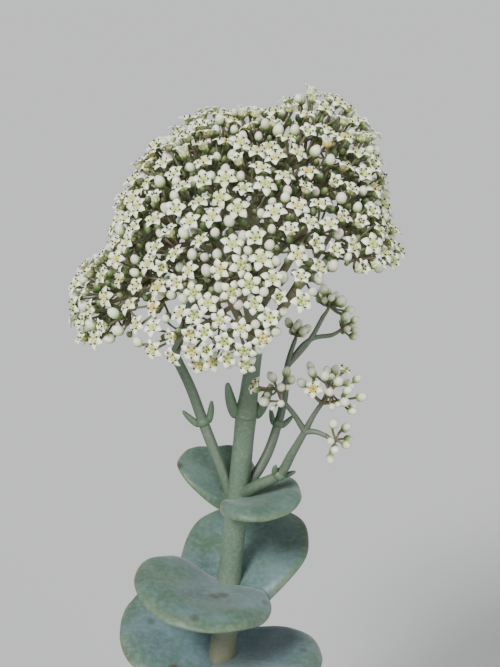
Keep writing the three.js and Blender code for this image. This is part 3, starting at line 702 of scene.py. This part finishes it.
def bract_finger(bract, side):
    """One bract: a blunt finger that leans out and curls back to the stalk at its tip."""
    bpy.ops.mesh.primitive_uv_sphere_add(segments=20, ring_count=18, radius=1)
    finger = bpy.context.object
    for vertex in finger.data.vertices:
        up = (vertex.co.z + 1) / 2
        level = max(1e-6, 1 - vertex.co.z ** 2)
        slim = level ** -0.22 * (1.08 - 0.45 * up)
        vertex.co.x *= bract["width"] / 2 * slim
        vertex.co.y *= bract["width"] / 2.3 * slim
        vertex.co.x -= 0.13 * bract["length"] * up * up
        vertex.co.z = up * bract["length"] - 1
    lean = Matrix.Rotation(math.radians(bract["spread"]), 4, "Y")
    out = Matrix.Translation((bract["radius"] + 0.3, 0, 0))
    finger.data.transform(Matrix.Rotation(side, 4, "Z") @ out @ lean)
    bpy.ops.object.shade_smooth()
    return finger


def bract_collar(bract):
    """The low swelling of the node that the two bracts grow from."""
    bpy.ops.mesh.primitive_uv_sphere_add(segments=32, ring_count=12, radius=1)
    collar = bpy.context.object
    wide = bract["radius"] + 0.55
    collar.data.transform(Matrix.Diagonal((wide, wide, 1.9, 1)))
    bpy.ops.object.shade_smooth()
    return collar


bract_green = stalk_finish("green_bract", [
    (0.3, (0.052, 0.1, 0.048)), (0.5, (0.08, 0.137, 0.076)), (0.7, (0.11, 0.167, 0.108)),
], (0.17, 0.225, 0.164))
for bract in BRACTS:
    bpy.ops.object.select_all(action="DESELECT")
    parts = [bract_collar(bract), bract_finger(bract, 0), bract_finger(bract, math.pi)]
    bract_piece = joined(parts, bract["name"] + "_pair")
    before, at, after = (Vector(bract["path"][bract["spot"] + step]) for step in (-1, 0, 1))
    axis = (after - before).normalized()
    upright = Vector((0, 0, 1)).rotation_difference(axis).to_matrix().to_4x4()
    turned = Matrix.Rotation(math.radians(bract["turn"]), 4, "Z")
    bract_piece.data.transform(
        Matrix.Scale(MM, 4) @ Matrix.Translation(at) @ upright @ turned,
    )
    bract_piece.data.materials.append(bract_green)
    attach(bract_piece, "root")
    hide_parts(bract["name"])


# Flowers and buds. Each flower has five broad white pointed petals grown together at their
# base, five plump cream carpels and five short stamens with dark tips between the petals, on
# a green calyx. Modelled here once in each stage of opening, at real size round the origin.
PETAL_COUNT = 5
PETAL_THICKNESS = 0.16
PETAL_CUP = 0.26
SLOPE_STEP = 0.05
CARPEL_SPOT = (0.86, 0, 0.3)
CARPEL_RADIUS = 0.78
PETAL_OUTLINE = [
    (0, 0.7), (0.15, 1.06), (0.3, 1.34), (0.5, 1.45), (0.69, 1.14), (0.85, 0.68), (0.96, 0.3),
    (1, 0),
]


def skin_finish(name, roughness, stops, scale, tints, glow):
    """A petal's or bud's skin: colours from its base to its tip, tinted by faint clouds."""
    material, tree, shader, place = new_finish(name, roughness)
    base = ramp(tree, measured(tree, "along"), stops)
    tint = ramp(tree, cloudy(tree, place, scale, 2), tints)
    tree.links.new(blended(tree, 1.0, base, tint, "MULTIPLY"), shader.inputs["Base Color"])
    shader.inputs["Subsurface Weight"].default_value = glow
    shader.inputs["Subsurface Scale"].default_value = 0.001
    return material, tree, shader, place


petal_white, tree, shader, place = skin_finish("white_petal", 0.5, [
    (0.0, (0.42, 0.48, 0.16)), (0.18, (0.58, 0.63, 0.28)), (0.3, (0.78, 0.82, 0.52)),
    (0.44, (0.88, 0.94, 0.73)), (1.0, (0.91, 0.96, 0.81)),
], 55, [(0.3, (0.84, 0.85, 0.68)), (0.5, (1, 1, 0.94)), (0.7, (1, 0.98, 0.88))], 0.12)
shader.inputs["Subsurface Radius"].default_value = (0.8, 0.8, 0.6)
embossed(tree, shader, cloudy(tree, place, 2500, 2), 0.12, 0.0001)
carpel_cream = clouded_finish("cream_carpel", 0.5, (80, 2), [
    (0.36, (0.42, 0.48, 0.15)), (0.48, (0.58, 0.62, 0.26)), (0.6, (0.64, 0.6, 0.24)),
    (0.7, (0.58, 0.43, 0.07)),
])
anther_dark = clouded_finish("dark_anther", 0.6, (240, 1), [
    (0.4, (0.012, 0.008, 0.006)), (0.62, (0.04, 0.022, 0.012)), (0.74, (0.2, 0.13, 0.04)),
])
calyx_green = clouded_finish("green_calyx", 0.55, (160, 3), [
    (0.35, (0.08, 0.13, 0.042)), (0.55, (0.138, 0.185, 0.068)), (0.7, (0.195, 0.19, 0.085)),
], (1500, 2, 0.2, 0.0001))
bud_white = skin_finish("pale_bud", 0.45, [
    (0.0, (0.12, 0.2, 0.05)), (0.22, (0.26, 0.38, 0.13)), (0.42, (0.55, 0.63, 0.4)),
    (0.6, (0.74, 0.8, 0.6)), (0.82, (0.8, 0.81, 0.7)), (1.0, (0.7, 0.62, 0.57)),
], 75, [(0.34, (0.88, 0.8, 0.8)), (0.5, (1, 1, 0.97)), (0.66, (0.9, 0.93, 0.8))], 0.1)[0]
bud_green = skin_finish("young_bud", 0.45, [
    (0.0, (0.055, 0.095, 0.022)), (0.4, (0.1, 0.16, 0.044)), (0.8, (0.18, 0.24, 0.1)),
    (1.0, (0.28, 0.3, 0.19)),
], 75, [(0.34, (0.9, 0.8, 0.7)), (0.5, (1, 1, 1)), (0.66, (0.8, 0.9, 0.7))], 0.1)[0]


def set_along(piece, stations):
    """Keeps each vertex's place along the shape, 0 at its base to 1 at its tip, as a UV."""
    layer = piece.data.uv_layers.active
    layer.name = "along"
    for loop in piece.data.loops:
        layer.data[loop.index].uv = (0.5, stations[loop.vertex_index])


def petal(stage, turn):
    """One petal of a flower at a stage of opening, pointing out at a turn."""
    bpy.ops.mesh.primitive_uv_sphere_add(segments=6, ring_count=8, radius=1)
    piece = bpy.context.object
    marks = np.linspace(0, 1, len(stage["line"]))
    outs, rises = zip(*stage["line"])
    stations = []
    for vertex in piece.data.vertices:
        along = (1 + vertex.co.z) / 2
        level = math.sqrt(max(0, 1 - vertex.co.z ** 2))
        across, face = (vertex.co.x / level, vertex.co.y / level) if level > 0.01 else (0, 0)
        wide = stage["width"] * np.interp(along, *zip(*PETAL_OUTLINE))
        near = (along + SLOPE_STEP, along - SLOPE_STEP)
        run = np.subtract(*np.interp(near, marks, outs))
        climb = np.subtract(*np.interp(near, marks, rises))
        tilt = math.atan2(climb, run)
        above = PETAL_THICKNESS * face * min(1, level * 1.5)
        above += PETAL_CUP * across ** 2 * (1 - 1.5 * along)
        stations.append(along)
        vertex.co = (
            np.interp(along, marks, outs) - math.sin(tilt) * above, across * wide,
            np.interp(along, marks, rises) + math.cos(tilt) * above,
        )
    set_along(piece, stations)
    piece.data.transform(Matrix.Rotation(turn, 4, "Z"))
    bpy.ops.object.shade_smooth()
    piece.data.materials.append(petal_white)
    return piece


def stamen(stage, turn):
    """A thin pale filament with a dark anther, between two petals."""
    foot = Vector((0.9, 0, 0.1))
    tip = Vector(stage["anther"])
    span = tip - foot
    bpy.ops.mesh.primitive_cylinder_add(vertices=4, radius=0.1, depth=span.length)
    filament = bpy.context.object
    aim = Vector((0, 0, 1)).rotation_difference(span).to_matrix().to_4x4()
    filament.data.transform(Matrix.Translation(foot + span / 2) @ aim)
    filament.data.materials.append(carpel_cream)
    bpy.ops.mesh.primitive_ico_sphere_add(subdivisions=1, radius=0.36)
    anther = bpy.context.object
    anther.data.transform(Matrix.Translation(tip) @ Matrix.Diagonal((0.8, 0.9, 1.2, 1)))
    anther.data.materials.append(anther_dark)
    whole = joined([filament, anther], "stamen")
    whole.data.transform(Matrix.Rotation(turn, 4, "Z"))
    bpy.ops.object.shade_smooth()
    return whole


def carpel(turn):
    """One of the five plump carpels in the middle of a flower, drawn to a point."""
    bpy.ops.mesh.primitive_uv_sphere_add(segments=6, ring_count=5, radius=CARPEL_RADIUS)
    piece = bpy.context.object
    for vertex in piece.data.vertices:
        up = max(0, vertex.co.z / CARPEL_RADIUS)
        vertex.co.x *= 1 - 0.35 * up
        vertex.co.y *= 1 - 0.35 * up
        vertex.co.z *= 1.35
    lean = Matrix.Rotation(math.radians(16), 4, "Y")
    piece.data.transform(
        Matrix.Rotation(turn, 4, "Z") @ Matrix.Translation(CARPEL_SPOT) @ lean,
    )
    bpy.ops.object.shade_smooth()
    piece.data.materials.append(carpel_cream)
    return piece


def calyx(height, wide):
    """The green cup under a flower, narrowing to its pedicel."""
    bpy.ops.mesh.primitive_cone_add(
        vertices=10, radius1=0.5, radius2=wide, depth=height, location=(0, 0, -height / 2 + 0.1),
    )
    piece = bpy.context.object
    bpy.ops.object.transform_apply(location=True)
    bpy.ops.object.shade_smooth()
    piece.data.materials.append(calyx_green)
    return piece


def flower(name, stage):
    """A whole flower at a stage of opening."""
    bpy.ops.object.select_all(action="DESELECT")
    step = 2 * math.pi / PETAL_COUNT
    parts = [petal(stage, i * step) for i in range(PETAL_COUNT)]
    parts += [stamen(stage, (i + 0.5) * step) for i in range(PETAL_COUNT)]
    parts += [carpel(i * step) for i in range(PETAL_COUNT)]
    parts.append(calyx(1.6, stage["cup"]))
    return joined(parts, name)


def bud_shape(name, finish):
    """A closed bud: a pointed egg with five faint seams and a green base."""
    bpy.ops.object.select_all(action="DESELECT")
    bpy.ops.mesh.primitive_uv_sphere_add(segments=10, ring_count=8, radius=1)
    piece = bpy.context.object
    stations = []
    for vertex in piece.data.vertices:
        up = (vertex.co.z + 1) / 2
        around = math.atan2(vertex.co.y, vertex.co.x)
        level = math.sqrt(max(0, 1 - vertex.co.z ** 2))
        fat = 1.85 * level * (1.04 - 0.2 * up) * (1 + 0.045 * math.cos(5 * around))
        stations.append(up)
        vertex.co = (fat * math.cos(around), fat * math.sin(around), 4.5 * up - 1.8)
    set_along(piece, stations)
    bpy.ops.object.shade_smooth()
    piece.data.materials.append(finish)
    return joined([piece, calyx(1.7, 1.05)], name)


OPEN = {
    "width": 1.0, "line": [(0.6, -0.1), (1.3, 0.55), (2.15, 1.0), (3.05, 1.0), (3.85, 0.45)],
    "anther": (1.88, 0, 1.2), "cup": 1.3,
}
FLAT = {
    "width": 1.02, "line": [(0.6, -0.1), (1.45, 0.45), (2.35, 0.65), (3.2, 0.4), (3.9, -0.3)],
    "anther": (1.95, 0, 1.0), "cup": 1.3,
}
CUPPED = {
    "width": 0.98, "line": [(0.6, -0.1), (1.2, 0.8), (1.8, 1.6), (2.6, 1.95), (3.4, 1.5)],
    "anther": (1.5, 0, 1.75), "cup": 1.3,
}
HALF_OPEN = {
    "width": 0.9, "line": [(0.6, -0.1), (1.2, 0.9), (1.4, 1.95), (1.95, 2.8), (2.9, 2.7)],
    "anther": (0.85, 0, 2.25), "cup": 1.25,
}
FLOWER_SHARES = (0.42, 0.68, 0.93)
flower_shapes = [
    flower("open_flower", OPEN), flower("flat_flower", FLAT),
    flower("cupped_flower", CUPPED), flower("half_open_flower", HALF_OPEN),
]
bud_template = bud_shape("bud", bud_white)
young_template = bud_shape("young_bud", bud_green)
twig_olive = stalk_finish("olive_twig", [
    (0.3, (0.074, 0.094, 0.038)), (0.46, (0.12, 0.12, 0.058)), (0.6, (0.158, 0.125, 0.072)),
    (0.74, (0.19, 0.122, 0.088)),
], (0.2, 0.2, 0.14))


# Flower head. A wide dome of sprays on branches that fork from the top of the stem and
# from the left side stalk. The dome's surface is four overlapping ellipsoids, cut off
# below; each spray fills the cone of directions nearest to its own hub.
HEAD_MIDDLE = np.array((12.0, 0, 262))
HEAD_LOBES = [
    ((18.3, 0, 264.2), (44, 47, 46.8)), ((5.2, 4, 275.4), (39.8, 41, 40.7)),
    ((-16.5, -6, 253.5), (30.4, 29.5, 26)), ((29.9, 2, 286.3), (26.4, 31, 34.4)),
]
HEAD_DENTS = [((-0.777, 0.194, 0.599), 4.2), ((0.883, 0.145, 0.446), 4)]
DENT_WIDTH = 0.3
HEAD_BASE = [
    (-50, 241.7), (-28, 251), (-8, 242.6), (8, 242.1), (30, 269.7), (40, 276.1), (62, 271.1),
]
HUB_CANDIDATES = 4000
HUB_LIFT = 5
SPRAY_SPACING = 24
SPRAY_CREASE = 1.5
CREASE_ANGLE = 0.27
CREASE_LIMIT = 1.4
SPRAY_DROP = 2.2
SPRAY_DEPTH = 0.62
FLOWER_CANDIDATES = 14000
FLOWER_SPACING = 6.1
BUD_SPACING = 4.4
INNER_SPACING = 4.4
INNER_DEPTH = (5.5, 7)
FORK_DEPTH = 0.34
FORKS = [(-2, 6, 240, 20), (38, 5, 252, 0), (90, 1, 264, 0)]
LEFT_STALK_TURN = (150, 235)
FLOWER_RISE = 0.4
BUD_RISE = 0.85
LEAN = 0.75
FLOWER_SIZES = (0.86, 0.16)
BUD_SIZES = (0.68, 0.3)
YOUNG_SIZES = (0.45, 0.3)
KNOT_SHARE = 0.55
KNOT_SPACING = 5.2


def head_reach(directions):
    """Distance from the head's middle to its surface along each unit direction."""
    reach = np.zeros(len(directions))
    for middle, radii in HEAD_LOBES:
        start = (HEAD_MIDDLE - np.array(middle)) / radii
        run = directions / np.array(radii)
        a = (run ** 2).sum(1)
        b = run @ start
        inside = b * b - a * (start @ start - 1)
        far = (-b + np.sqrt(np.maximum(inside, 0))) / a
        reach = np.maximum(reach, np.where(inside > 0, far, 0))
    for dent, depth in HEAD_DENTS:
        away = np.arccos(np.clip(directions @ (np.array(dent) / np.linalg.norm(dent)), -1, 1))
        reach -= depth * np.exp(-(away / DENT_WIDTH) ** 2)
    return reach


def head_base(x):
    """Height of the head's lower edge at a place from left to right."""
    return np.interp(x, *zip(*HEAD_BASE))


def head_places(count):
    """Directions and points spread evenly over the head's surface."""
    i = np.arange(count)
    z = 1 - 2 * (i + 0.5) / count
    level = np.sqrt(1 - z * z)
    around = i * math.pi * (3 - math.sqrt(5))
    directions = np.stack((level * np.cos(around), level * np.sin(around), z), 1)
    points = HEAD_MIDDLE + directions * head_reach(directions)[:, None]
    kept = points[:, 2] > head_base(points[:, 0])
    return directions[kept], points[kept]


hub_directions, hub_points = head_places(HUB_CANDIDATES)
hubs = []
for index, point in enumerate(hub_points):
    if point[2] < head_base(point[0]) + HUB_LIFT:
        continue
    if all(np.linalg.norm(point - hub_points[other]) > SPRAY_SPACING for other in hubs):
        hubs.append(index)
spray_directions = hub_directions[hubs]
spray_hubs = HEAD_MIDDLE + spray_directions * (head_reach(spray_directions) * SPRAY_DEPTH)[:, None]

directions, points = head_places(FLOWER_CANDIDATES)
closeness = directions @ spray_directions.T
owners = closeness.argmax(1)
offsets = np.arccos(np.clip(closeness.max(1), -1, 1))
drops = np.array([SPRAY_DROP * chance(number, 12) for number in range(len(hubs))])
sinks = drops[owners] + SPRAY_CREASE * np.minimum((offsets / CREASE_ANGLE) ** 2, CREASE_LIMIT)
points -= directions * sinks[:, None]
forward = ((points - spray_hubs[owners]) * spray_directions[owners]).sum(1)
order = [index for index in np.argsort(offsets, kind="stable") if forward[index] > 1]


def spaced(chosen, spots, gap, lower):
    """Adds places one after another that stay a gap away from those chosen before."""
    for index in order:
        spot = points[index] - directions[index] * lower(index)
        if len(spots) and (np.linalg.norm(np.array(spots) - spot, axis=1) < gap).any():
            continue
        chosen.append(int(index))
        spots.append(spot)


flower_places = []
taken_spots = []
spaced(flower_places, taken_spots, FLOWER_SPACING, lambda i: 1.8 * chance(i, 2))
flower_count = len(flower_places)
bud_places = []
spaced(bud_places, taken_spots, BUD_SPACING, lambda i: 0.2 + 3 * chance(i, 4))
outer_count = flower_count + len(bud_places)
inner_places = []
spaced(inner_places, taken_spots, INNER_SPACING,
       lambda i: INNER_DEPTH[0] + INNER_DEPTH[1] * chance(i, 8))


def head_forks():
    """The forks inside the head: direction, point, height on the stem, and which stalk."""
    forks = []
    for elevation, count, height, first in FORKS:
        for i in range(count):
            turn = first + i * 360 / count
            around, rise = math.radians(turn), math.radians(elevation)
            direction = np.array((
                math.cos(rise) * math.cos(around), math.cos(rise) * math.sin(around),
                math.sin(rise),
            ))
            reach = head_reach(direction[None])[0] * FORK_DEPTH
            on_left = elevation < 0 and LEFT_STALK_TURN[0] < turn < LEFT_STALK_TURN[1]
            forks.append((direction, HEAD_MIDDLE + direction * reach, height, on_left))
    return forks


def sagging(start, end, sag):
    """A point between two others, a little below the straight line."""
    middle = Vector(start).lerp(Vector(end), 0.5)
    return middle - Vector((0, 0, sag))


forks = head_forks()
fork_directions = np.array([fork[0] for fork in forks])
spray_forks = (spray_directions @ fork_directions.T).argmax(1)
branch_runs = []
left_runs = [(LEFT_STALK["path"], LEFT_STALK["radii"])]
for number, (_, point, height, on_left) in enumerate(forks):
    if on_left:
        start = Vector(LEFT_STALK["path"][-1])
        runs, thick = left_runs, 1.6
    else:
        start = stem_at(height)[0]
        runs, thick = branch_runs, 1.75
    runs.append(([start, sagging(start, point, 0.8), point], [thick, 1.35, 1.25]))
    for spray in np.flatnonzero(spray_forks == number):
        hub = spray_hubs[spray]
        runs.append(([point, sagging(point, hub, 0.5), hub], [1.15, 0.9, 0.8]))
head_branches = grown_tube("head_branches", branch_runs, 3, 6)
head_branches.data.materials.append(twig_olive)
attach(head_branches, "root")
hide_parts("main_stem")
left_stalk = grown_tube("stalk_left", left_runs, 4, 8)
left_stalk.data.materials.append(stalk_green)
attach(left_stalk, "root")
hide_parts("side_stalk_left")


def facing_of(point, draw, rise):
    """Out from the head and a little up, leaning by a small chance."""
    facing = Vector(point - HEAD_MIDDLE).normalized()
    facing.z += rise
    lean = Vector([chance(draw, k) - 0.5 for k in (11, 12, 13)])
    return (facing.normalized() + LEAN * lean).normalized()


def set_in_place(template, spot, facing, draw, size):
    """A copy of a flower or bud at a spot, turned to face out and spun by chance."""
    aim = facing.to_track_quat("Z", "Y").to_matrix().to_4x4()
    spin = Matrix.Rotation(2 * math.pi * chance(draw, 5), 4, "Z")
    matrix = Matrix.Translation(Vector(spot)) @ aim @ spin @ Matrix.Scale(size, 4)
    return copied(template, Matrix.Scale(MM, 4) @ matrix)


def spray_items(number):
    """The flowers and buds of one spray: template, spot, facing, draw and size."""
    items = []
    for index, place in enumerate(flower_places + bud_places + inner_places):
        if owners[place] != number:
            continue
        spot = taken_spots[index]
        if index < flower_count:
            shape = flower_shapes[sum(chance(place, 6) > share for share in FLOWER_SHARES)]
            rise, sizes = FLOWER_RISE, FLOWER_SIZES
        elif index < outer_count:
            shape, rise, sizes = bud_template, BUD_RISE, BUD_SIZES
        else:
            shape, rise, sizes = young_template, BUD_RISE, YOUNG_SIZES
        facing = facing_of(points[place], place, rise)
        items.append((shape, spot, facing, place, sizes[0] + sizes[1] * chance(place, 7)))
    return items


def pedicel_runs(hub, items):
    """Branchlets from a hub to groups of three or four items, and a pedicel to each."""
    runs = []
    knots = []
    for spot in [item[1] for item in items]:
        near = Vector(hub).lerp(Vector(spot), KNOT_SHARE)
        if all((near - knot).length > KNOT_SPACING for knot in knots):
            knots.append(near)
            runs.append(([hub, sagging(hub, near, 0.3), near], [0.72, 0.6, 0.52]))
    for _, spot, facing, _, size in items:
        foot = Vector(spot) - facing * 1.3 * size
        knot = min(knots, key=lambda one: (one - foot).length)
        bend = knot.lerp(foot, 0.6) - facing * 0.7
        runs.append(([knot, bend, foot], [0.42, 0.36, 0.42]))
    return runs


def flowering_spray(name, hub, items):
    """Flowers, buds and pedicels of one spray in one piece."""
    pedicels = grown_tube("pedicels", pedicel_runs(hub, items), 1, 3)
    pedicels.data.materials.append(twig_olive)
    copies = [set_in_place(*item) for item in items]
    return joined([pedicels, *copies], name)


for number, hub in enumerate(spray_hubs):
    items = spray_items(number)
    piece = flowering_spray(f"flower_spray_{number + 1:02d}", hub, items)
    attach(piece, "root")
    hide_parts(f"spray_{number + 1:02d}")


# Loose bud sprays. Small pinkish buds with a few open flowers, on pedicels fanned out from
# the tips of the two right side stalks.
def loose_items(stalk, spray):
    """The buds and flowers of a loose spray, fanned round the direction of its twig, and
    smaller buds between them nearer to the hub."""
    hub = Vector(spray["hub"])
    aim = (hub - Vector(stalk["path"][-1])).normalized()
    side = Vector((0, 0, 1)).cross(aim).normalized()
    other = aim.cross(side)
    total = spray["buds"] + spray["flowers"]
    items = []
    for i in range(total + total // 2):
        small = i >= total
        share = (i - total + 0.8) / (total // 2) if small else (i + 0.3) / total
        tilt = math.radians(spray["spread"]) * math.sqrt(share)
        around = i * math.pi * (3 - math.sqrt(5)) + spray["seed"]
        out = aim * math.cos(tilt) + (side * math.cos(around) + other * math.sin(around)) \
            * math.sin(tilt)
        far = (0.5 if small else 0.72) + 0.28 * chance(i, spray["seed"])
        spot = hub + out * spray["reach"] * far
        draw = i + 50 * spray["seed"]
        if small:
            items.append((bud_template, spot, out, draw, 0.5 + 0.2 * chance(draw, 9)))
        elif spray["flowers"] and i % math.ceil(total / spray["flowers"]) == 1:
            items.append((flower_shapes[0], spot, out, draw, 0.86))
        else:
            items.append((bud_template, spot, out, draw, 0.66 + 0.24 * chance(draw, 9)))
    return items


loose = [(RIGHT_STALK, spray) for spray in RIGHT_SPRAYS]
loose += [(FRONT_STALK, spray) for spray in FRONT_SPRAYS]
for number, (stalk, spray) in enumerate(loose):
    items = loose_items(stalk, spray)
    piece = flowering_spray(f"loose_spray_{number + 1}", spray["hub"], items)
    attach(piece, "root")
    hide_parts(f"bud_spray_{number + 1}")

for template in [*flower_shapes, bud_template, young_template]:
    bpy.data.objects.remove(template)
